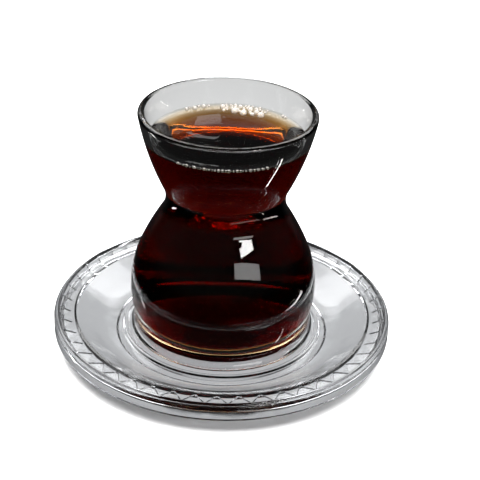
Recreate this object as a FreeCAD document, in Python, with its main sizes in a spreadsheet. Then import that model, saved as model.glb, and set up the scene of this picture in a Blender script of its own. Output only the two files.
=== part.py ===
# A waisted tea glass full of tea, standing on its round pressed-glass saucer.
#
# Frame: millimetres, +Z up, the origin under the middle of the saucer's foot
# ring, on the table.  Three bodies share one upright axis: saucer, glass, tea.
# All the sizes are in the sheet "Sizes".  The sketches read them by name.
import FreeCAD, Part
import math
import os
import Sketcher
from FreeCAD import Vector

doc = FreeCAD.newDocument("TeaGlass")
sheet = doc.addObject("Spreadsheet::Sheet", "Sizes")

# ---- named sizes, each written once ----------------------------------------
SIZES = {
    # saucer
    "saucer_across": 112.0,
    "seat_height": 4.6,         # table to the floor that the glass stands on
    "floor_thick": 3.2,
    "rim_rise": 6.0,            # floor of the well to the cut band
    "bead_rise": 0.45,          # raised line outside the cut band
    "lip_drop": 5.6,            # height of the rolled outer edge
    "rim_thick": 3.3,
    "dish_share": 0.36,         # of the way from the seat ring to the well line
    "foot_ring_across": 70.0,
    "foot_ring_width": 3.0,
    "seat_ring_across": 64.6,   # low line around the foot of the glass
    "seat_ring_rise": 0.4,
    # cut band of the saucer
    "tooth_count": 48.0,
    "tooth_long": 4.0,
    "tooth_deep": 0.6,
    "tooth_bevel": 0.35,        # width of the slope down each side of a cut
    # glass
    "glass_height": 77.5,
    "rim_across": 56.8,
    "belly_across": 60.9,
    "belly_height": 16.0,
    "belly_curve": 36.0,
    "base_curve": 42.0,
    "shoulder_curve": 90.0,
    "waist_across": 38.7,
    "waist_height": 48.0,
    "waist_curve": 10.4,
    "flare_curve": 92.0,
    "heel_across": 60.6,
    "heel_round": 1.5,
    "neck_curve": 5.0,
    "kick_across": 54.4,        # hollow under the base
    "kick_deep": 1.5,
    "wall": 2.2,
    "base_thick": 3.0,
    "corner_round": 12.0,       # inside, between floor and wall
    # tea
    "tea_below_rim": 9.2,
}

# ---- sizes worked out from the ones above ----------------------------------
DERIVED = {
    "middle": "0",
    "sharp": "0",
    "saucer_edge": "saucer_across / 2",
    "bead_foot": "saucer_edge - 0.6",
    "bead_line": "saucer_edge - 1.1",
    "cut_out": "saucer_edge - 1.7",
    "cut_in": "cut_out - tooth_long",
    "well_line": "cut_in - 1.7",
    "well_in": "well_line - 0.8",
    "well_out": "well_line + 0.7",
    "ring_line": "seat_ring_across / 2",
    "ring_in": "ring_line - 1.1",
    "ring_out": "ring_line + 1.1",
    "ring_top": "seat_height + 2 * seat_ring_rise",
    "band_height": "seat_height + rim_rise",
    "well_in_height": "band_height - 0.9",
    "well_line_height": "band_height - 0.1",
    "well_out_height": "band_height - 0.4",
    "dish_foot": "ring_out + dish_share * (well_in - ring_out)",
    "dish_rise": "well_in_height - seat_height",
    "dish_run": "well_in - dish_foot",
    "dish_length": "sqrt(dish_run * dish_run + dish_rise * dish_rise)",
    "dish_reach": "min(0.92 * (dish_foot - ring_out); 0.8 * dish_length)",
    "dish_round": "dish_reach * dish_rise / (dish_length - dish_run)",
    "bead_top": "band_height + 2 * bead_rise",
    "edge_top": "band_height - 0.1",
    "edge_under": "band_height - lip_drop",
    "lip_in": "saucer_edge - 1.9",
    "roof_out": "saucer_edge - 3.1",
    "roof_in": "cut_in - 0.4",
    "roof_height": "band_height - rim_thick",
    "under_floor": "seat_height - floor_thick",
    "foot_out_top": "foot_ring_across / 2 + 0.5",
    "under_foot": "max(dish_foot + 1.4; foot_out_top + 3)",
    "under_rise": "roof_height - under_floor",
    "under_run": "roof_in - under_foot",
    "under_length": "sqrt(under_run * under_run + under_rise * under_rise)",
    "under_reach": "min(0.85 * (under_foot - foot_out_top); 0.8 * under_length)",
    "under_round": "under_reach * under_rise / (under_length - under_run)",
    "foot_out": "foot_ring_across / 2",
    "foot_in": "foot_out - foot_ring_width",
    "foot_in_top": "foot_in - 0.5",
    "small_round": "0.35",
    "fine_round": "0.2",
    "soft_round": "0.8",
    "tooth_end": "cut_out * cos(180 / tooth_count)",
    "tooth_half": "cut_out * sin(180 / tooth_count)",
    "tooth_tip_half": "0.12",
    "tooth_tip_deep": "0.03",
    "tooth_tip_bevel": "0.04",
    "tooth_over": "0.3",
    "rim_edge": "rim_across / 2",
    "belly_edge": "belly_across / 2",
    "belly_inside": "belly_edge - wall",
    "belly_curve_inside": "belly_curve - wall",
    "base_curve_inside": "base_curve - wall",
    "shoulder_curve_inside": "shoulder_curve - wall",
    "waist_middle": "waist_across / 2 + waist_curve",
    "waist_curve_inside": "waist_curve + wall",
    "flare_curve_inside": "flare_curve - wall",
    "heel_middle": "heel_across / 2 - heel_round",
    "kick_edge": "kick_across / 2",
    "kick_in": "kick_edge - 1.6",
    "cavity_top": "glass_height + 1",
    "lip_round": "wall * 0.46",
    "tea_level": "glass_height - tea_below_rim",
}


def fill_sheet():
    """Write the sizes and the formulas, each with its name as alias."""
    row = 1
    for name, value in SIZES.items():
        sheet.set("A%d" % row, name)
        sheet.set("B%d" % row, str(value))
        sheet.setAlias("B%d" % row, name)
        row += 1
    for name, formula in DERIVED.items():
        sheet.set("A%d" % row, name)
        sheet.set("B%d" % row, "=" + formula)
        sheet.setAlias("B%d" % row, name)
        row += 1
    doc.recompute()


def size(name):
    """The number that the sheet holds under this name."""
    return float(sheet.get(name))


def point(name_x, name_y):
    return Vector(size(name_x), size(name_y), 0)


# ---- small sketch helpers --------------------------------------------------
def new_body(name):
    body = doc.addObject("PartDesign::Body", name)
    doc.recompute()
    return body


def new_sketch(body, name, role, offset=None):
    """A sketch flat on one of the body's own origin planes."""
    sketch = body.newObject("Sketcher::SketchObject", name)
    for item in body.Origin.OriginFeatures:
        if item.Role == role:
            sketch.AttachmentSupport = [(item, "")]
    sketch.MapMode = "FlatFace"
    if offset:
        sketch.setExpression("AttachmentOffset.Base.z", "Sizes." + offset)
    doc.recompute()
    return sketch


def bind(sketch, kind, refs, name):
    """A constraint whose value is the named size."""
    index = sketch.addConstraint(Sketcher.Constraint(kind, *refs, size(name)))
    sketch.setExpression("Constraints[%d]" % index, "Sizes." + name)


def fix_point(sketch, geo, end, name_x, name_y):
    """Hold a point at named distances from the axis and from the base."""
    for kind, name, on_axis in (("DistanceX", name_x, -2), ("DistanceY", name_y, -1)):
        if name == "middle":
            sketch.addConstraint(Sketcher.Constraint("PointOnObject", geo, end, on_axis))
        else:
            bind(sketch, kind, (-1, 1, geo, end), name)


def join(sketch, first, second):
    """The end of one line or arc meets the start of the next."""
    sketch.addConstraint(Sketcher.Constraint("Coincident", first, 2, second, 1))


def outline(sketch, corners):
    """Close a loop of straight lines through the corners, each with its round.

    A corner is (distance from the axis, height, round), all names of sizes.
    """
    count = len(corners)
    spots = [point(x, y) for x, y, _ in corners]
    starts, ends, cuts = [], [], []
    for i in range(count):
        here = spots[i]
        back = (spots[i - 1] - here).normalize()
        ahead = (spots[(i + 1) % count] - here).normalize()
        radius = size(corners[i][2])
        cut = radius / math.tan(back.getAngle(ahead) / 2) if radius else 0
        cuts.append(cut)
        ends.append(here + back * cut)
        starts.append(here + ahead * cut)
    lines = []
    for i in range(count):
        segment = Part.LineSegment(starts[i], ends[(i + 1) % count])
        lines.append(sketch.addGeometry(segment, False))
    for i in range(count):
        before, after = lines[i - 1], lines[i]
        name_x, name_y, name_round = corners[i]
        if not cuts[i]:
            join(sketch, before, after)
            fix_point(sketch, after, 1, name_x, name_y)
            continue
        here = spots[i]
        back = (spots[i - 1] - here).normalize()
        ahead = (spots[(i + 1) % count] - here).normalize()
        inward = (back + ahead).normalize()
        reach = math.hypot(cuts[i], size(name_round))
        middle = here + inward * reach
        crown = middle - inward * size(name_round)
        curve = Part.Arc(ends[i], crown, starts[i])
        arc = sketch.addGeometry(curve, False)
        first = sketch.getPoint(arc, 1)
        near_end = first.distanceToPoint(ends[i]) < first.distanceToPoint(starts[i])
        at_before, at_after = (1, 2) if near_end else (2, 1)
        sketch.addConstraint(Sketcher.Constraint("Tangent", before, 2, arc, at_before))
        sketch.addConstraint(Sketcher.Constraint("Tangent", after, 1, arc, at_after))
        bind(sketch, "Radius", (arc,), name_round)
        corner = sketch.addGeometry(Part.Point(here), True)
        sketch.addConstraint(Sketcher.Constraint("PointOnObject", corner, 1, before))
        sketch.addConstraint(Sketcher.Constraint("PointOnObject", corner, 1, after))
        fix_point(sketch, corner, 1, name_x, name_y)


def arc_through(sketch, start, end, middle, radius):
    """An arc from start to end about a centre; returns it and its end numbers."""
    mean = (start + end) * 0.5 - middle
    crown = middle + mean.normalize() * radius
    arc = sketch.addGeometry(Part.Arc(start, crown, end), False)
    near = sketch.getPoint(arc, 1).distanceToPoint(start) < 1e-4
    return arc, (1, 2) if near else (2, 1)


def crossing(middle_a, radius_a, middle_b, radius_b, wanted):
    """The point on both circles that lies nearest to the wanted one."""
    gap = middle_b - middle_a
    length = gap.Length
    along = (radius_a ** 2 - radius_b ** 2 + length ** 2) / (2 * length)
    across = math.sqrt(max(radius_a ** 2 - along ** 2, 0.0))
    gap.normalize()
    side = Vector(-gap.y, gap.x, 0)
    spots = [middle_a + gap * along + side * across, middle_a + gap * along - side * across]
    return min(spots, key=lambda spot: spot.distanceToPoint(wanted))


def glass_side(sketch, inside, top):
    """The waisted side of the glass, from its lowest curve to a level top.

    Returns the lowest curve and the top line, for the base to join.  The
    inside runs on the same centres as the outside, one wall further in.
    """
    tail = "_inside" if inside else ""
    wall = size("wall") if inside else 0.0
    belly_edge = "belly_inside" if inside else "belly_edge"
    r_belly = size("belly_curve") - wall
    r_base = size("base_curve") - wall
    r_waist = size("waist_curve") + wall
    r_flare = size("flare_curve") - wall
    apex = point(belly_edge, "belly_height")
    c_belly = apex - Vector(r_belly, 0, 0)
    c_base = apex - Vector(r_base, 0, 0)
    c_waist = point("waist_middle", "waist_height")
    rim = point("rim_edge", "glass_height")
    c_flare = crossing(
        rim, size("flare_curve"), c_waist, size("flare_curve") + size("waist_curve"),
        rim - Vector(size("flare_curve"), -20, 0))

    # long shoulder, touching the belly on one side and the waist on the other
    r_shoulder = size("shoulder_curve") - wall
    c_shoulder = crossing(
        c_belly, size("shoulder_curve") - size("belly_curve"),
        c_waist, size("shoulder_curve") + size("waist_curve"),
        c_belly - Vector(size("shoulder_curve"), 0, 0))
    shoulder_low = c_shoulder + (c_belly - c_shoulder).normalize() * r_shoulder
    shoulder_top = c_shoulder + (c_waist - c_shoulder).normalize() * r_shoulder
    flare_low = c_waist + (c_flare - c_waist).normalize() * r_waist
    level = size(top)
    reach = math.sqrt(r_flare ** 2 - (level - c_flare.y) ** 2)
    flare_top = Vector(c_flare.x + reach, level, 0)
    start_guess = 0.3    # radians below the belly; the solver moves this end to its tangent
    base_low = c_base + Vector(
        r_base * math.cos(start_guess), -r_base * math.sin(start_guess), 0)

    base, base_ends = arc_through(sketch, base_low, apex, c_base, r_base)
    belly, belly_ends = arc_through(sketch, apex, shoulder_low, c_belly, r_belly)
    shoulder, shoulder_ends = arc_through(
        sketch, shoulder_low, shoulder_top, c_shoulder, r_shoulder)
    waist, waist_ends = arc_through(sketch, shoulder_top, flare_low, c_waist, r_waist)
    flare, flare_ends = arc_through(sketch, flare_low, flare_top, c_flare, r_flare)
    lid = sketch.addGeometry(Part.LineSegment(flare_top, Vector(0, level, 0)), False)

    tie = sketch.addConstraint
    tie(Sketcher.Constraint("Coincident", base, base_ends[1], belly, belly_ends[0]))
    tie(Sketcher.Constraint("Horizontal", base, 3, base, base_ends[1]))
    tie(Sketcher.Constraint("Horizontal", belly, 3, belly, belly_ends[0]))
    fix_point(sketch, belly, belly_ends[0], belly_edge, "belly_height")
    bind(sketch, "Radius", (base,), "base_curve" + tail)
    bind(sketch, "Radius", (belly,), "belly_curve" + tail)
    tie(Sketcher.Constraint("Tangent", belly, belly_ends[1], shoulder, shoulder_ends[0]))
    tie(Sketcher.Constraint("Tangent", shoulder, shoulder_ends[1], waist, waist_ends[0]))
    bind(sketch, "Radius", (shoulder,), "shoulder_curve" + tail)
    fix_point(sketch, waist, 3, "waist_middle", "waist_height")
    bind(sketch, "Radius", (waist,), "waist_curve" + tail)
    tie(Sketcher.Constraint("Tangent", waist, waist_ends[1], flare, flare_ends[0]))
    bind(sketch, "Radius", (flare,), "flare_curve" + tail)
    mark = sketch.addGeometry(Part.Point(rim), True)
    fix_point(sketch, mark, 1, "rim_edge", "glass_height")
    bind(sketch, "Distance", (flare, 3, mark, 1), "flare_curve")
    tie(Sketcher.Constraint("Coincident", flare, flare_ends[1], lid, 1))
    tie(Sketcher.Constraint("Horizontal", lid))
    tie(Sketcher.Constraint("PointOnObject", lid, 2, -2))
    bind(sketch, "DistanceY", (-1, 1, lid, 2), top)
    return base, base_ends[0], lid, c_base, r_base


def round_floor(sketch, base, base_end, lid, c_base, r_base):
    """Close an inside outline with its rounded corner and its flat floor."""
    floor = size("base_thick")
    radius = size("corner_round")
    reach = r_base - radius
    middle = Vector(c_base.x + math.sqrt(reach ** 2 - (c_base.y - floor - radius) ** 2),
                    floor + radius, 0)
    low = Vector(middle.x, floor, 0)
    high = middle + (middle - c_base).normalize() * radius
    corner, corner_ends = arc_through(sketch, low, high, middle, radius)
    line = sketch.addGeometry(Part.LineSegment(Vector(0, floor, 0), low), False)
    axis = sketch.addGeometry(
        Part.LineSegment(sketch.getPoint(lid, 2), Vector(0, floor, 0)), False)
    tie = sketch.addConstraint
    tie(Sketcher.Constraint("Tangent", corner, corner_ends[1], base, base_end))
    tie(Sketcher.Constraint("Tangent", line, 2, corner, corner_ends[0]))
    tie(Sketcher.Constraint("Horizontal", line))
    bind(sketch, "Radius", (corner,), "corner_round")
    join(sketch, axis, line)
    join(sketch, lid, axis)
    fix_point(sketch, line, 1, "middle", "base_thick")


def heel_and_kick(sketch, base, base_end, lid, c_base, r_base):
    """Close the outside outline with its heel and the hollow under its base."""
    round_r = size("heel_round")
    neck_r = size("neck_curve")
    c_heel = Vector(size("heel_middle"), round_r, 0)
    c_neck = crossing(
        c_heel, round_r + neck_r, c_base, r_base + neck_r, c_heel + Vector(neck_r, neck_r, 0))
    low = Vector(c_heel.x, 0, 0)
    turn = c_heel + (c_neck - c_heel).normalize() * round_r
    high = c_base + (c_neck - c_base).normalize() * r_base
    heel, heel_ends = arc_through(sketch, low, turn, c_heel, round_r)
    neck, neck_ends = arc_through(sketch, turn, high, c_neck, neck_r)
    kick_edge = Vector(size("kick_edge"), 0, 0)
    kick_in = point("kick_in", "kick_deep")
    kick_top = Vector(0, size("kick_deep"), 0)
    stand = sketch.addGeometry(Part.LineSegment(kick_edge, low), False)
    slope = sketch.addGeometry(Part.LineSegment(kick_in, kick_edge), False)
    hollow = sketch.addGeometry(Part.LineSegment(kick_top, kick_in), False)
    axis = sketch.addGeometry(Part.LineSegment(sketch.getPoint(lid, 2), kick_top), False)
    tie = sketch.addConstraint
    tie(Sketcher.Constraint("Tangent", neck, neck_ends[1], base, base_end))
    tie(Sketcher.Constraint("Tangent", heel, heel_ends[1], neck, neck_ends[0]))
    tie(Sketcher.Constraint("Tangent", stand, 2, heel, heel_ends[0]))
    bind(sketch, "Radius", (heel,), "heel_round")
    bind(sketch, "Radius", (neck,), "neck_curve")
    bind(sketch, "DistanceX", (-1, 1, heel, 3), "heel_middle")
    fix_point(sketch, stand, 1, "kick_edge", "middle")
    tie(Sketcher.Constraint("Horizontal", stand))
    join(sketch, slope, stand)
    join(sketch, hollow, slope)
    fix_point(sketch, slope, 1, "kick_in", "kick_deep")
    fix_point(sketch, hollow, 1, "middle", "kick_deep")
    join(sketch, axis, hollow)
    join(sketch, lid, axis)


def turned(body, kind, name, sketch):
    """A full turn of the sketch about the body's upright axis."""
    sketch.solve()
    doc.recompute()
    feature = body.newObject(kind, name)
    feature.Profile = sketch
    feature.ReferenceAxis = (sketch, ["V_Axis"])
    feature.Angle = 360.0
    body.Tip = feature
    doc.recompute()
    return feature


fill_sheet()

# ---- saucer: a pressed disc with a well, a rolled edge and a foot ring ------
saucer = new_body("saucer")
section = new_sketch(saucer, "saucer_section", "XZ_Plane")
outline(section, [
    ("middle", "seat_height", "sharp"),
    ("ring_in", "seat_height", "soft_round"),
    ("ring_line", "ring_top", "soft_round"),
    ("ring_out", "seat_height", "soft_round"),
    ("dish_foot", "seat_height", "dish_round"),
    ("well_in", "well_in_height", "fine_round"),
    ("well_line", "well_line_height", "fine_round"),
    ("well_out", "well_out_height", "fine_round"),
    ("cut_in", "band_height", "sharp"),
    ("cut_out", "band_height", "sharp"),
    ("bead_line", "bead_top", "small_round"),
    ("bead_foot", "edge_top", "small_round"),
    ("saucer_edge", "edge_top", "soft_round"),
    ("saucer_edge", "edge_under", "soft_round"),
    ("lip_in", "edge_under", "small_round"),
    ("roof_out", "roof_height", "soft_round"),
    ("roof_in", "roof_height", "soft_round"),
    ("under_foot", "under_floor", "under_round"),
    ("foot_out_top", "under_floor", "small_round"),
    ("foot_out", "middle", "small_round"),
    ("foot_in", "middle", "small_round"),
    ("foot_in_top", "under_floor", "small_round"),
    ("middle", "under_floor", "sharp"),
])
turned(saucer, "PartDesign::Revolution", "saucer_disc", section)

# One V-shaped cut with bevelled sides, wide at the bead, dying out at the well.
cut_ends = []
for name, offset, half, deep, bevel in (
        ("cut_wide_end", "tooth_end", "tooth_half", "tooth_deep", "tooth_bevel"),
        ("cut_thin_end", "cut_in", "tooth_tip_half", "tooth_tip_deep", "tooth_tip_bevel")):
    end = new_sketch(saucer, name, "YZ_Plane", offset)
    top = size("band_height") + size("tooth_over")
    low = size("band_height") - size(deep)
    top_half = size(half) + size(bevel) * size("tooth_over") / size(deep)
    low_half = size(half) - size(bevel)
    corners = [Vector(-top_half, top, 0), Vector(top_half, top, 0),
               Vector(low_half, low, 0), Vector(-low_half, low, 0)]
    lines = [end.addGeometry(Part.LineSegment(corners[i], corners[(i + 1) % 4]), False)
             for i in range(4)]
    for i in range(4):
        join(end, lines[i], lines[(i + 1) % 4])
    tie = end.addConstraint
    tie(Sketcher.Constraint("Symmetric", lines[0], 1, lines[0], 2, -2))
    tie(Sketcher.Constraint("Symmetric", lines[2], 1, lines[2], 2, -2))
    for kind, line, value, words in (
            ("DistanceY", lines[0], top, "Sizes.band_height + Sizes.tooth_over"),
            ("DistanceY", lines[2], low, "Sizes.band_height - Sizes.%s" % deep),
            ("DistanceX", lines[0], top_half,
             "Sizes.%s + Sizes.%s * Sizes.tooth_over / Sizes.%s" % (half, bevel, deep)),
            ("DistanceX", lines[2], low_half, "Sizes.%s - Sizes.%s" % (half, bevel))):
        corner = 1 if line == lines[2] else 2
        index = tie(Sketcher.Constraint(kind, -1, 1, line, corner, value))
        end.setExpression("Constraints[%d]" % index, words)
    cut_ends.append(end)
doc.recompute()
cut = saucer.newObject("PartDesign::SubtractiveLoft", "one_cut")
cut.Profile = cut_ends[0]
cut.Sections = [cut_ends[1]]
cut.Ruled = True
saucer.Tip = cut
doc.recompute()
cuts = saucer.newObject("PartDesign::PolarPattern", "cut_band")
cuts.Originals = [cut]
cuts.Axis = (section, ["V_Axis"])
cuts.Angle = 360.0
cuts.setExpression("Occurrences", "Sizes.tooth_count")
saucer.Tip = cuts
doc.recompute()

# ---- glass: thick base, round belly, narrow waist, flared rim ---------------
glass = new_body("glass")
glass.setExpression("Placement.Base.z", "Sizes.seat_height")
outer = new_sketch(glass, "glass_outside", "XZ_Plane")
heel_and_kick(outer, *glass_side(outer, False, "glass_height"))
turned(glass, "PartDesign::Revolution", "glass_blank", outer)
cavity = new_sketch(glass, "glass_inside", "XZ_Plane")
round_floor(cavity, *glass_side(cavity, True, "cavity_top"))
hollow = turned(glass, "PartDesign::Groove", "glass_hollow", cavity)

rim_edges = []
for number, edge in enumerate(hollow.Shape.Edges, 1):
    flat = edge.BoundBox.ZLength < 1e-6
    if flat and abs(edge.BoundBox.ZMin - size("glass_height")) < 1e-4:
        rim_edges.append("Edge%d" % number)
lip = glass.newObject("PartDesign::Fillet", "fire_rounded_lip")
lip.Base = (hollow, rim_edges)
lip.setExpression("Radius", "Sizes.lip_round")
glass.Tip = lip
doc.recompute()

# ---- tea: everything inside the glass up to the level it is filled to -------
tea = new_body("tea")
tea.setExpression("Placement.Base.z", "Sizes.seat_height")
fill = new_sketch(tea, "tea_section", "XZ_Plane")
round_floor(fill, *glass_side(fill, True, "tea_level"))
turned(tea, "PartDesign::Revolution", "tea_fill", fill)
doc.recompute()

# ---- checks, then one file for each node ------------------------------------
for item in doc.Objects:
    if any(word in item.State for word in ("Invalid", "Error")):
        raise RuntimeError("%s did not compute: %s" % (item.Name, item.State))
for body in (saucer, glass, tea):
    if body.Shape.isNull() or not body.Shape.isValid() or len(body.Shape.Solids) != 1:
        raise RuntimeError("%s is not one valid solid" % body.Name)
whole_bowl = math.pi * size("belly_edge") ** 2 * size("glass_height")
if not 0 < glass.Shape.Volume < 0.6 * whole_bowl:
    raise RuntimeError("the glass has not been hollowed")
if not cuts.Shape.Volume < saucer.Shape.Volume + 1e-6 < doc.getObject("saucer_disc").Shape.Volume:
    raise RuntimeError("the cut band took nothing away")

os.makedirs("parts", exist_ok=True)
for body in (saucer, glass, tea):
    body.Shape.exportStep("parts/%s.step" % body.Name)
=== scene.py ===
import bmesh
import bpy
import math
import random
from mathutils import Matrix, Vector


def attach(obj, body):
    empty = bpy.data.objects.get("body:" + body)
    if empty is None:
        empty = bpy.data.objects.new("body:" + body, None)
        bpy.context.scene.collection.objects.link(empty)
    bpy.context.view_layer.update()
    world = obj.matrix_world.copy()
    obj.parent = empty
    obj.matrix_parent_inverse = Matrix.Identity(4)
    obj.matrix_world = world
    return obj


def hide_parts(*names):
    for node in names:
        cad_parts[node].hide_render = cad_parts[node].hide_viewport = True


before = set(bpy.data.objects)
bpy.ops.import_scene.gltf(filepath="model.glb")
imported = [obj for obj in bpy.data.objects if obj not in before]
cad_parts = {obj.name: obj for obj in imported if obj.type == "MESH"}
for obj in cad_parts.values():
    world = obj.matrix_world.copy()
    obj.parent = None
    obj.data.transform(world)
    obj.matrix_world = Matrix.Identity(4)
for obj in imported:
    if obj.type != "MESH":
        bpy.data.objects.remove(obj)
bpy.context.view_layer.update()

# Room: a matt pale table top under one large soft light, with a window and its
# sill behind the viewer's right shoulder, soft lights at the back and thin strips
# of light low at the sides.  Banded air stands in for the table in clear glass.
MM, WELD = 0.001, 1e-7
scene = bpy.context.scene
scene.view_settings.view_transform = "Standard"
scene.cycles.use_denoising = True
# A glass full of tea has many walls for light to pass.
scene.cycles.max_bounces = 24
scene.cycles.transmission_bounces = 20
scene.cycles.glossy_bounces = 8
scene.cycles.diffuse_bounces = 4
scene.cycles.transparent_max_bounces = 12
scene.cycles.sample_clamp_indirect = 8.0


def linear(hex_code):
    """An sRGB hex colour as linear RGBA."""
    parts = [int(hex_code[i:i + 2], 16) / 255 for i in (1, 3, 5)]
    return [p / 12.92 if p <= 0.04045 else ((p + 0.055) / 1.055) ** 2.4 for p in parts] + [1.0]


def add_node(tree, kind, settings=None, links=None):
    """A node with its sockets and properties set and its inputs linked."""
    node = tree.nodes.new(kind)
    for key, value in (settings or {}).items():
        if key in node.inputs:
            node.inputs[key].default_value = value
        else:
            setattr(node, key, value)
    for key, socket in (links or {}).items():
        tree.links.new(socket, node.inputs[key])
    return node


def new_material(name):
    """An empty node material and its output node."""
    material = bpy.data.materials.new(name)
    material.use_nodes = True
    material.node_tree.nodes.clear()
    return material, material.node_tree, add_node(material.node_tree, "ShaderNodeOutputMaterial")


def keep(bm, name, materials, smooth_angle=30, flat_faces=()):
    """Turn a bmesh into a placed object with soft shading up to an angle."""
    bmesh.ops.remove_doubles(bm, verts=bm.verts, dist=WELD)
    bmesh.ops.recalc_face_normals(bm, faces=bm.faces)
    for face in bm.faces:
        face.smooth = face not in flat_faces
    mesh = bpy.data.meshes.new(name)
    bm.to_mesh(mesh)
    bm.free()
    mesh.set_sharp_from_angle(angle=math.radians(smooth_angle))
    piece = bpy.data.objects.new(name, mesh)
    scene.collection.objects.link(piece)
    for material in materials:
        mesh.materials.append(material)
    return piece


floor_paint, tree, out = new_material("matt_white_laminate")
grain = add_node(tree, "ShaderNodeTexNoise", {"Scale": 900.0, "Detail": 2.0})
tone = add_node(tree, "ShaderNodeMapRange", {"To Min": 0.86, "To Max": 0.88},
                {"Value": grain.outputs["Fac"]})
paint = add_node(tree, "ShaderNodeBsdfPrincipled", {"Roughness": 0.6},
                 {"Base Color": tone.outputs["Result"]})
tree.links.new(paint.outputs[0], out.inputs["Surface"])
bm = bmesh.new()
bmesh.ops.create_grid(bm, x_segments=1, y_segments=1, size=2.5)
floor = keep(bm, "table_top", [floor_paint])
floor.visible_glossy = False
floor.visible_transmission = False

world = bpy.data.worlds.new("studio_air")
scene.world = world
world.use_nodes = True
tree = world.node_tree
heading = add_node(tree, "ShaderNodeTexCoord")
direction = add_node(tree, "ShaderNodeSeparateXYZ", {}, {"Vector": heading.outputs["Generated"]})
by_height = add_node(tree, "ShaderNodeMapRange", {"From Min": -1.0},
                     {"Value": direction.outputs["Z"]})
BRIGHTEST = 4.0


def room_bands(stops):
    """Brightness by height: (upward part of the direction, brightness up to the brightest)."""
    bands = add_node(tree, "ShaderNodeValToRGB", {}, {"Fac": by_height.outputs["Result"]})
    ramp = bands.color_ramp
    for upward, _ in stops[1:-1]:
        ramp.elements.new((upward + 1) / 2)
    for stop, (_, level) in zip(ramp.elements, stops):
        grey = level / BRIGHTEST
        stop.color = (grey, grey, grey, 1)
    return bands.outputs["Color"]


# Through clear glass the pale table shows, with one dimmer ring on the way down.
through = room_bands([(-1.0, 0.75), (-0.965, 0.7), (-0.93, 0.25), (-0.84, 0.25), (-0.76, 0.75),
                      (-0.40, 0.78), (-0.2, 0.60), (0.0, 0.5), (0.405, 0.5), (0.418, 0.06),
                      (0.46, 0.6), (0.8, 0.7), (1.0, 0.2)])
# A polished side mirrors the dark half of the studio, and a grey wall at the back.
mirrored = room_bands([(-1.0, 0.02), (-0.2, 0.02), (0.0, 0.12), (0.405, 0.12), (0.418, 0.06),
                       (1.0, 0.02)])
depth = add_node(tree, "ShaderNodeMapRange", {"From Min": 0.60, "From Max": 0.86, "To Min": 0.03},
                 {"Value": direction.outputs["Y"]})
wall = add_node(tree, "ShaderNodeVectorMath", {"operation": "SCALE"},
                {"Vector": mirrored, "Scale": depth.outputs["Result"]})
path = add_node(tree, "ShaderNodeLightPath")
# A ray that was mirrored on its way finds the lower half nearly dark.
direct = add_node(tree, "ShaderNodeMapRange",
                  {"From Min": 0.0, "From Max": 1.0, "To Min": 1.0, "To Max": 0.03},
                  {"Value": path.outputs["Glossy Depth"]})
above = add_node(tree, "ShaderNodeMapRange", {"From Min": -0.1, "From Max": 0.1},
                 {"Value": direction.outputs["Z"]})
lit = add_node(tree, "ShaderNodeMath", {"operation": "MAXIMUM"},
               {0: direct.outputs["Result"], 1: above.outputs["Result"]})
beyond = add_node(tree, "ShaderNodeVectorMath", {"operation": "SCALE"},
                  {"Vector": through, "Scale": lit.outputs["Value"]})
air_look = add_node(tree, "ShaderNodeMix", {"data_type": "RGBA"},
                    {"Factor": path.outputs["Is Transmission Ray"]})
# A colour mix has its two colours on inputs 6 and 7, and the result on output 2.
tree.links.new(wall.outputs["Vector"], air_look.inputs[6])
tree.links.new(beyond.outputs["Vector"], air_look.inputs[7])
air = tree.nodes["Background"]
air.inputs["Strength"].default_value = BRIGHTEST
tree.links.new(air_look.outputs[2], air.inputs["Color"])

LOOK_AT = Vector((5.12, 0.0, 36.4)) * MM
VIEW_UP = math.radians(29.39)
VIEW_DISTANCE = 418.8 * MM
VIEW_ROLL = math.radians(2.30)
toward_viewer = Vector((0, -math.cos(VIEW_UP), math.sin(VIEW_UP)))
camera = bpy.data.objects.new("camera", bpy.data.cameras.new("camera"))
scene.collection.objects.link(camera)
camera.data.lens = 96.26
camera.data.sensor_width = 36.0
camera.matrix_world = (
    Matrix.Translation(LOOK_AT + toward_viewer * VIEW_DISTANCE)
    @ Matrix.Rotation(math.pi / 2 - VIEW_UP, 4, "X")
    @ Matrix.Rotation(VIEW_ROLL, 4, "Z"))
scene.camera = camera


def soft_light(name, azimuth, height, distance, wide, tall, power, roll=0):
    """A soft rectangular light that faces the glass from a compass direction."""
    azimuth, height = math.radians(azimuth), math.radians(height)
    way = Vector((math.sin(azimuth) * math.cos(height),
                  math.cos(azimuth) * math.cos(height), math.sin(height)))
    data = bpy.data.lights.new(name, "AREA")
    data.shape = "RECTANGLE"
    data.size, data.size_y = wide, tall
    data.energy = power
    light = bpy.data.objects.new(name, data)
    scene.collection.objects.link(light)
    light.location = LOOK_AT + way * distance
    faced = way.to_track_quat("Z", "Y").to_matrix() @ Matrix.Rotation(math.radians(roll), 3, "Z")
    light.rotation_euler = faced.to_euler()
    return light


overhead = soft_light("overhead_softbox", 0, 88, 1.2, 1.6, 1.6, 95.0)
overhead.visible_glossy = False
overhead.visible_transmission = False
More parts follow.
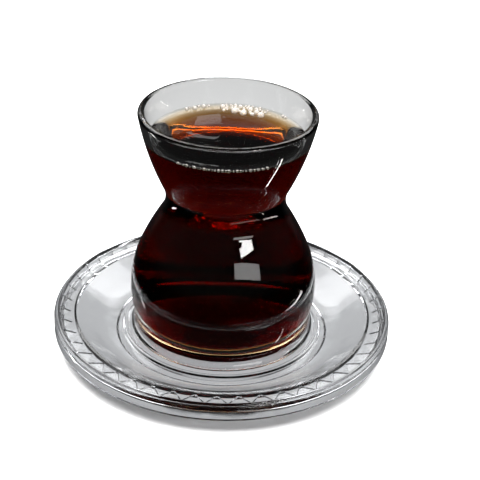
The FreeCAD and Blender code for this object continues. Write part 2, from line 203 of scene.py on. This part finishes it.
# Compass direction, height, distance, size, power and roll, and whether it lights matt things.
for name, azimuth, height, distance, wide, tall, power, roll, lights_matt in (
        ("back_softbox", 0, 48, 1.5, 2.6, 0.55, 13.0, 0, False),
        ("back_halo", 0, 50, 1.55, 4.6, 0.95, 26.0, 0, False),
        ("window", 142, 29.6, 1.6, 0.54, 0.126, 4.6, 0, True),
        ("window_sill", 146, 20.5, 1.6, 0.95, 0.20, 2.2, -10.4, True),
        ("far_window", -2.35, 24.5, 6.0, 0.194, 0.096, 0.075, 0, True),
        ("low_sheet", 140, -32.5, 1.6, 1.5, 0.09, 0.9, -2, False),
        ("right_strip", 86, -24, 1.6, 0.95, 0.05, 1.6, 10, False),
        ("left_strip", -64, -30, 1.6, 0.30, 0.05, 0.8, -35, False),
        ("tall_strip", 92, -50, 1.6, 0.42, 0.03, 1.0, 78, False)):
    light = soft_light(name, azimuth, height, distance, wide, tall, power, roll)
    light.visible_diffuse = lights_matt
# A small lamp under the table, seen only through glass, draws the orange line in the tea.
table_glow = soft_light("table_glow", 0, 0, 0.1, 0.10, 0.03, 0.2)
table_glow.data.shape = "ELLIPSE"
table_glow.location = Vector((0, 60, -5)) * MM
table_glow.rotation_euler = (math.pi, 0, 0)
table_glow.data.spread = math.radians(35)
table_glow.visible_glossy = False
table_glow.visible_diffuse = False
table_glow.visible_camera = False


# Saucer: clear pressed soda-lime glass, fire polished.  The mould gives it a
# dished well with a low seat ring, a band of V-cuts, a beaded edge and a foot ring.
def rounded(corners, steps=4):
    """A closed outline through corners (r, z, round), each turned by its round."""
    points = []
    for i, (r, z, radius) in enumerate(corners):
        here = Vector((r, z))
        if not radius:
            points.append((r, z))
            continue
        back = (Vector(corners[i - 1][:2]) - here).normalized()
        ahead = (Vector(corners[(i + 1) % len(corners)][:2]) - here).normalized()
        half = back.angle(ahead) / 2
        middle = here + (back + ahead).normalized() * radius / math.sin(half)
        start = here + back * radius / math.tan(half) - middle
        sweep = start.angle_signed(here + ahead * radius / math.tan(half) - middle)
        for k in range(steps + 1):
            turned = Matrix.Rotation(-sweep * k / steps, 2) @ start
            points.append(tuple(middle + turned))
    return points


def turned_solid(outline, segments):
    """Spin an outline (r, z) in millimetres about the upright axis."""
    bm = bmesh.new()
    verts = [bm.verts.new((r * MM, 0, z * MM)) for r, z in outline]
    edges = [bm.edges.new(pair) for pair in zip(verts, verts[1:])]
    bmesh.ops.spin(bm, geom=verts + edges, axis=(0, 0, 1), cent=(0, 0, 0), dvec=(0, 0, 0),
                   angle=math.tau, steps=segments, use_merge=True, use_duplicate=False)
    bmesh.ops.remove_doubles(bm, verts=bm.verts, dist=WELD)
    return bm


SEAT = 4.6
EDGE = 56.0
BAND = SEAT + 6.0
CUT_OUT = EDGE - 1.7
CUT_IN = CUT_OUT - 4.0
TEETH, STEPS_PER_TOOTH = 48, 4
STEPS_ROUND = TEETH * STEPS_PER_TOOTH
CUT_DEEP, CUT_BEVEL = 0.35, 0.35
EDGE_TOP, EDGE_UNDER = BAND - 0.1, BAND - 5.6
UNDER, ROOF = SEAT - 3.2, BAND - 3.3
SOFT, SMALL, CRISP = 0.8, 0.35, 0.2
RING_IN, RING_R, RING_OUT, RING_TALL = 31.2, 32.3, 33.4, 0.8
DISH_R, DISH_BEND = 38.6, 18.6
UNDER_R, UNDER_BEND = 40.0, 14
FOOT_IN, FOOT_OUT, FOOT_DRAFT = 32, 35, 0.5
saucer_outline = rounded([
    # The flat middle of the well and the low ring round the glass's foot.
    (0, SEAT, 0),
    (RING_IN, SEAT, SOFT),
    (RING_R, SEAT + RING_TALL, SOFT),
    (RING_OUT, SEAT, SOFT),
    # The dish, up to the line that ends the well.
    (DISH_R, SEAT, DISH_BEND),
    (CUT_IN - 2.5, BAND - 0.9, CRISP),
    (CUT_IN - 1.7, BAND - 0.1, CRISP),
    (CUT_IN - 1.0, BAND - 0.4, CRISP),
    # The cut band, the bead outside it and the edge.
    (CUT_IN, BAND, 0),
    (CUT_OUT, BAND, 0),
    (EDGE - 1.1, BAND + 0.9, SMALL),
    (EDGE - 0.6, EDGE_TOP, SMALL),
    (EDGE, EDGE_TOP, SOFT),
    (EDGE, EDGE_UNDER, SOFT),
    (EDGE - 1.9, EDGE_UNDER, SMALL),
    # The underside and the foot ring.
    (EDGE - 3.1, ROOF, SOFT),
    (CUT_IN - 0.4, ROOF, SOFT),
    (UNDER_R, UNDER, UNDER_BEND),
    (FOOT_OUT + FOOT_DRAFT, UNDER, SMALL),
    (FOOT_OUT, 0, SMALL),
    (FOOT_IN, 0, SMALL),
    (FOOT_IN - FOOT_DRAFT, UNDER, SMALL),
    (0, UNDER, 0),
])


def band_ring(bm, radius):
    """The corners of the flat band at this radius, in order round the rim."""
    ring = [v for v in bm.verts if abs(v.co.z - BAND * MM) < 1e-6
            and abs(v.co.xy.length - radius * MM) < 1e-5]
    return sorted(ring, key=lambda v: math.atan2(v.co.y, v.co.x) % math.tau)


bm = turned_solid(saucer_outline, STEPS_ROUND)
inner, outer = band_ring(bm, CUT_IN), band_ring(bm, CUT_OUT)
band = {f for v in inner for f in v.link_faces} & {f for v in outer for f in v.link_faces}
bmesh.ops.delete(bm, geom=list(band), context="FACES_ONLY")
# Each cut is a wedge with its tip at the well; what is left between two is the land.
cuts, lands = [], []
for first in range(0, STEPS_ROUND, STEPS_PER_TOOTH):
    wide = [outer[(first + k) % STEPS_ROUND] for k in (-2, -1, 0, 1, 2)]
    next_tip = inner[(first + STEPS_PER_TOOTH) % STEPS_ROUND]
    cuts.append(bm.faces.new([inner[first]] + wide))
    lands.append(bm.faces.new(inner[first:first + STEPS_PER_TOOTH] + [next_tip, wide[-1]]))
bmesh.ops.recalc_face_normals(bm, faces=bm.faces)
walls = bmesh.ops.inset_individual(bm, faces=cuts, thickness=CUT_BEVEL * MM,
                                   depth=-CUT_DEEP * MM)["faces"]
GLASS_IOR = 1.52
clear_pressed, tree, out = new_material("clear_pressed_glass")
place = add_node(tree, "ShaderNodeTexCoord").outputs["Object"]
ripple = add_node(tree, "ShaderNodeTexNoise", {"Scale": 70.0, "Detail": 2.0, "Roughness": 0.4},
                  {"Vector": place})
ripple_lift = add_node(tree, "ShaderNodeBump", {"Strength": 0.5, "Distance": 0.0006},
                       {"Height": ripple.outputs["Fac"]})
haze = add_node(tree, "ShaderNodeTexNoise", {"Scale": 260.0, "Detail": 3.0}, {"Vector": place})
haze_range = add_node(tree, "ShaderNodeMapRange", {"To Min": 0.03, "To Max": 0.13},
                      {"Value": haze.outputs["Fac"]})
glass_look = add_node(tree, "ShaderNodeBsdfPrincipled", {
    "Base Color": linear("#D9DBDE"), "IOR": GLASS_IOR, "Transmission Weight": 1.0},
    {"Roughness": haze_range.outputs["Result"], "Normal": ripple_lift.outputs["Normal"]})
tree.links.new(glass_look.outputs[0], out.inputs["Surface"])
saucer = keep(bm, "pressed_saucer", [clear_pressed], 30, set(cuts + lands + walls))
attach(saucer, "root")
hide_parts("saucer")


# Glass: clear blown soda-lime glass, thick in the base and even in the wall,
# pinched to a waist in the mould and fire rounded at the lip.
def crossing(a, radius_a, b, radius_b, wanted):
    """The point on both circles that lies nearest to the wanted one."""
    gap = b - a
    along = (radius_a ** 2 - radius_b ** 2 + gap.length_squared) / (2 * gap.length)
    across = math.sqrt(max(radius_a ** 2 - along ** 2, 0))
    gap.normalize()
    side = Vector((-gap.y, gap.x))
    spots = [a + gap * along + side * across * s for s in (1, -1)]
    return min(spots, key=lambda spot: (spot - wanted).length)


def bend(middle, start, end, steps):
    """Points on the short way round a centre from start to end."""
    first = start - middle
    sweep = first.angle_signed(end - middle)
    return [middle + Matrix.Rotation(-sweep * k / steps, 2) @ first for k in range(steps + 1)]


BELLY_Z, WAIST_Z, HEIGHT, WALL = 16.0, 48.0, 77.5, 2.2
BELLY_R, WAIST_R, RIM_R = 30.45, 19.35, 28.4
BELLY_BEND, BASE_BEND, WAIST_BEND, FLARE_BEND = 36.0, 42.0, 10.4, 92.0
SHOULDER_BEND = 90.0
KICK, KICK_IN, KICK_OUT = 1.5, 25.6, 27.2
HEEL_R, HEEL_ROUND, NECK_BEND = 30.3, 1.5, 5.0
FLOOR, CORNER = 3.0, 12.0
GUESS_ABOVE_RIM = 20.0


def glass_side(inset, foot, top):
    """The waisted side at an inset from the outside, from its foot to a height.

    foot is "heel" for the outside and "corner" for the inside.
    """
    belly = Vector((BELLY_R - BELLY_BEND, BELLY_Z))
    base = Vector((BELLY_R - BASE_BEND, BELLY_Z))
    waist = Vector((WAIST_R + WAIST_BEND, WAIST_Z))
    rim = Vector((RIM_R, HEIGHT))
    flare = crossing(rim, FLARE_BEND, waist, FLARE_BEND + WAIST_BEND,
                     rim + Vector((-FLARE_BEND, GUESS_ABOVE_RIM)))
    r_belly, r_base = BELLY_BEND - inset, BASE_BEND - inset
    r_waist, r_flare = WAIST_BEND + inset, FLARE_BEND - inset
    r_shoulder = SHOULDER_BEND - inset
    shoulder = crossing(belly, SHOULDER_BEND - BELLY_BEND, waist, SHOULDER_BEND + WAIST_BEND,
                        belly - Vector((SHOULDER_BEND, 0)))
    if foot == "heel":
        heel = Vector((HEEL_R - HEEL_ROUND, HEEL_ROUND))
        neck = crossing(heel, HEEL_ROUND + NECK_BEND, base, r_base + NECK_BEND,
                        heel + Vector((NECK_BEND, NECK_BEND)))
        touch = heel + (neck - heel).normalized() * HEEL_ROUND
        leave = base + (neck - base).normalized() * r_base
        points = bend(heel, Vector((heel.x, 0)), touch, 8) + bend(neck, touch, leave, 8)
    else:
        reach = r_base - CORNER
        floor_z = FLOOR - (WALL - inset)
        middle = Vector((base.x + math.sqrt(reach ** 2 - (base.y - floor_z - CORNER) ** 2),
                         floor_z + CORNER))
        leave = middle + (middle - base).normalized() * CORNER
        points = bend(middle, Vector((middle.x, floor_z)), leave, 12)
    points += bend(base, leave, base + Vector((r_base, 0)), 8)
    shoulder_low = shoulder + (belly - shoulder).normalized() * r_shoulder
    shoulder_top = shoulder + (waist - shoulder).normalized() * r_shoulder
    points += bend(belly, belly + Vector((r_belly, 0)), shoulder_low, 16)
    points += bend(shoulder, shoulder_low, shoulder_top, 8)
    flare_low = waist + (flare - waist).normalized() * r_waist
    points += bend(waist, shoulder_top, flare_low, 20)
    end = Vector((flare.x + math.sqrt(r_flare ** 2 - (top - flare.y) ** 2), top))
    points += bend(flare, flare_low, end, 14)
    return points


LIP_ROUND = WALL * 0.46
TEA_BELOW_RIM = 9.2
LEVEL = HEIGHT - TEA_BELOW_RIM
CLIMB = 1.2
WET_TOP = LEVEL + CLIMB
DRY_STEPS = 6
NEAR = 0.01
outside = glass_side(0, "heel", HEIGHT)
# The inside has a ring just where the tea stops climbing, so its wet part ends there.
inside = glass_side(WALL, "corner", WET_TOP) + glass_side(WALL, "corner", HEIGHT)[-DRY_STEPS:]
top_out, top_in = outside[-1], inside[-1]
lip = rounded([
    (outside[-2].x, outside[-2].y, 0), (top_out.x, top_out.y, LIP_ROUND),
    (top_in.x, top_in.y, LIP_ROUND), (inside[-2].x, inside[-2].y, 0)], 8)[1:-1]
section = [(0, KICK), (KICK_IN, KICK), (KICK_OUT, 0)] + [tuple(p) for p in outside[:-1]]
section += lip + [tuple(p) for p in reversed(inside[:-1])] + [(0, FLOOR)]
glass_section = [(r, z + SEAT) for r, z in section]
bm = turned_solid(glass_section, STEPS_ROUND)
bmesh.ops.recalc_face_normals(bm, faces=bm.faces)
bm.normal_update()
for face in bm.faces:
    middle = face.calc_center_median()
    inward = face.normal.xy.dot(middle.xy) < 0 or face.normal.z > 0.9
    up = middle.z / MM - SEAT
    face.material_index = 1 if inward and FLOOR - NEAR < up < WET_TOP else 0
clear_blown, tree, out = new_material("clear_blown_glass")
place = add_node(tree, "ShaderNodeTexCoord").outputs["Object"]
waves = add_node(tree, "ShaderNodeTexNoise", {"Scale": 45.0, "Detail": 1.0}, {"Vector": place})
wave_lift = add_node(tree, "ShaderNodeBump", {"Strength": 0.2, "Distance": 0.0003},
                     {"Height": waves.outputs["Fac"]})
blown_look = add_node(tree, "ShaderNodeBsdfPrincipled", {
    "Base Color": linear("#F4F5F5"), "Roughness": 0.0, "IOR": GLASS_IOR,
    "Transmission Weight": 1.0}, {"Normal": wave_lift.outputs["Normal"]})
tree.links.new(blown_look.outputs[0], out.inputs["Surface"])
# Against tea the wall bends light by the ratio of the two.
TEA_IOR = 1.333
wet_glass, tree, out = new_material("clear_blown_glass_against_tea")
wet_look = add_node(tree, "ShaderNodeBsdfPrincipled", {
    "Base Color": (1, 1, 1, 1), "Roughness": 0.0, "IOR": GLASS_IOR / TEA_IOR,
    "Transmission Weight": 1.0})
tree.links.new(wet_look.outputs[0], out.inputs["Surface"])
glass = keep(bm, "waisted_glass", [clear_blown, wet_glass], 35)
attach(glass, "root")
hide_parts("glass")


# Tea: clear black tea, brewed strong.  It is deep red-brown where it is thick
# and orange where it is thin, and it climbs the wall in a small meniscus.
# It reaches a hair into the wall, so that no film of air shows between them.
REACH = 0.12
CURL = 1.15
FLAT_R = 18
SURFACE_Z = SEAT + LEVEL
side = glass_side(WALL - REACH, "corner", WET_TOP)
brim_r = side[-1].x
curl = [(brim_r - far, LEVEL + CLIMB * math.exp(-far / CURL))
        for far in (0.15, 0.35, 0.6, 0.95, 1.4, 2.0, 2.8, 4.0, 6.0)]
section = [(0, FLOOR - REACH)] + [tuple(p) for p in side] + curl
section += [(FLAT_R, LEVEL), (0, LEVEL)]
tea_section = [(r, z + SEAT) for r, z in section]
bm = turned_solid(tea_section, STEPS_ROUND)
# Only the free surface bends light; the sides leave that to the wall they touch.
free = bm.faces.layers.float.new("free_surface")
bmesh.ops.recalc_face_normals(bm, faces=bm.faces)
bm.normal_update()
for face in bm.faces:
    on_top = face.calc_center_median().z > (SURFACE_Z - NEAR) * MM
    face[free] = 1.0 if face.normal.z > 0.05 and on_top else 0.0
black_tea, tree, out = new_material("brewed_black_tea")
place = add_node(tree, "ShaderNodeTexCoord").outputs["Object"]
swirl = add_node(tree, "ShaderNodeTexNoise", {"Scale": 120.0, "Detail": 2.0, "Distortion": 0.6},
                 {"Vector": place})
film = add_node(tree, "ShaderNodeMapRange", {"To Min": 0.0, "To Max": 0.05},
                {"Value": swirl.outputs["Fac"]})
swell = add_node(tree, "ShaderNodeBump", {"Strength": 0.15, "Distance": 0.0002},
                 {"Height": swirl.outputs["Fac"]})
tea_look = add_node(tree, "ShaderNodeBsdfPrincipled", {
    "Base Color": (1, 1, 1, 1), "IOR": TEA_IOR, "Transmission Weight": 1.0},
    {"Roughness": film.outputs["Result"], "Normal": swell.outputs["Normal"]})
tea_inside = add_node(tree, "ShaderNodeBsdfPrincipled", {
    "Base Color": (1, 1, 1, 1), "Roughness": 0.0, "IOR": 1.0, "Transmission Weight": 1.0})
where_free = add_node(tree, "ShaderNodeAttribute", {"attribute_name": "free_surface"})
tea_skin = add_node(tree, "ShaderNodeMixShader", {}, {0: where_free.outputs["Fac"]})
tree.links.new(tea_inside.outputs[0], tea_skin.inputs[1])
tree.links.new(tea_look.outputs[0], tea_skin.inputs[2])
tea_depth = add_node(tree, "ShaderNodeVolumeAbsorption", {
    "Color": (0.81, 0.53, 0.0, 1.0), "Density": 450.0})
tree.links.new(tea_skin.outputs[0], out.inputs["Surface"])
tree.links.new(tea_depth.outputs[0], out.inputs["Volume"])
tea = keep(bm, "black_tea", [black_tea], 40)
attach(tea, "root")
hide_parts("tea")


# Bubbles: thin films of tea round air, thrown up by the pour.  A raft of them
# clings to the wall at the back, a few lie on either side of it and a fine line
# of them runs along the wall at the front.  Each kind is one joined mesh.
bubble_film, tree, out = new_material("thin_tea_bubble_film")
film_grain = add_node(tree, "ShaderNodeTexNoise", {"Scale": 1500.0, "Detail": 1.0},
                      {"Vector": add_node(tree, "ShaderNodeTexCoord").outputs["Object"]})
film_tone = add_node(tree, "ShaderNodeMapRange", {"To Min": 0.05, "To Max": 0.2},
                     {"Value": film_grain.outputs["Fac"]})
film_look = add_node(tree, "ShaderNodeBsdfPrincipled", {
    "Base Color": linear("#FBF4EC"), "IOR": TEA_IOR, "Transmission Weight": 0.7,
    "Coat Weight": 1.0, "Coat Roughness": 0.05, "Coat IOR": 1.7},
    {"Roughness": film_tone.outputs["Result"]})
tree.links.new(film_look.outputs[0], out.inputs["Surface"])
chance = random.Random(7)
OVERLAP, PROUD = 0.06, 0.25


def wall_spot(turn, size, away=0.0):
    """Where the tea carries a bubble of this size at a compass turn, so far off the wall."""
    reach = brim_r - REACH - size - away
    turn = math.radians(turn)
    lift = CLIMB * math.exp(-(brim_r - reach) / CURL)
    return Vector((reach * math.sin(turn), reach * math.cos(turn), SURFACE_Z + lift))


def clear_of(spot, size, placed):
    """Whether a bubble here keeps its distance from those already placed."""
    return all((spot - other).length > (size + wide) * (1 - OVERLAP) for other, wide in placed)


def bubbles(name, placed, rings):
    """One mesh of round bubbles, each floating a little more than half out of the tea."""
    bm = bmesh.new()
    for spot, size in placed:
        place = Matrix.Translation(Vector((spot.x, spot.y, spot.z + PROUD * size)) * MM)
        bmesh.ops.create_uvsphere(bm, u_segments=rings * 2, v_segments=rings,
                                  radius=size * MM, matrix=place)
    piece = keep(bm, name, [bubble_film], 180)
    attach(piece, "root")


RAFT_COUNT, RAFT_TRIES = 46, 900
RAFT_FROM, RAFT_TO, RAFT_DEEP = -6, 32, 4.6
RAFT_MIDDLE, RAFT_SPREAD, RAFT_FADE = 12, 11, 1.9
RAFT_SIZES = (0.45, 0.6, 0.75, 0.95, 1.15)
raft = []
for _ in range(RAFT_TRIES):
    size = chance.choice(RAFT_SIZES)
    turn = chance.gauss(RAFT_MIDDLE, RAFT_SPREAD)
    away = abs(chance.gauss(0, RAFT_FADE))
    spot = wall_spot(turn, size, away)
    if RAFT_FROM < turn < RAFT_TO and away < RAFT_DEEP and clear_of(spot, size, raft):
        raft.append((spot, size))
    if len(raft) == RAFT_COUNT:
        break
bubbles("bubble_raft", raft, 12)

stray = [(wall_spot(turn, size, away), size) for turn, size, away in (
    (-36, 0.6, 0.1), (-33, 0.45, 0.0), (-29, 0.8, 0.2), (-25, 0.5, 0.0),
    (-21, 0.7, 0.1), (-17, 0.45, 0.3), (47, 0.6, 0.0), (50, 0.45, 0.1))]
bubbles("stray_bubbles", stray, 12)

FINE_FROM, FINE_TO = 150.0, 216.0
FINE_SIZES = (0.24, 0.3, 0.38, 0.46)
fine = []
turn = FINE_FROM
while turn < FINE_TO:
    size = chance.choice(FINE_SIZES)
    fine.append((wall_spot(turn, size, chance.choice((0, 0, 0.3))), size))
    turn += math.degrees(2 * size / brim_r) * chance.uniform(0.95, 1.5)
bubbles("fine_bubbles", fine, 8)
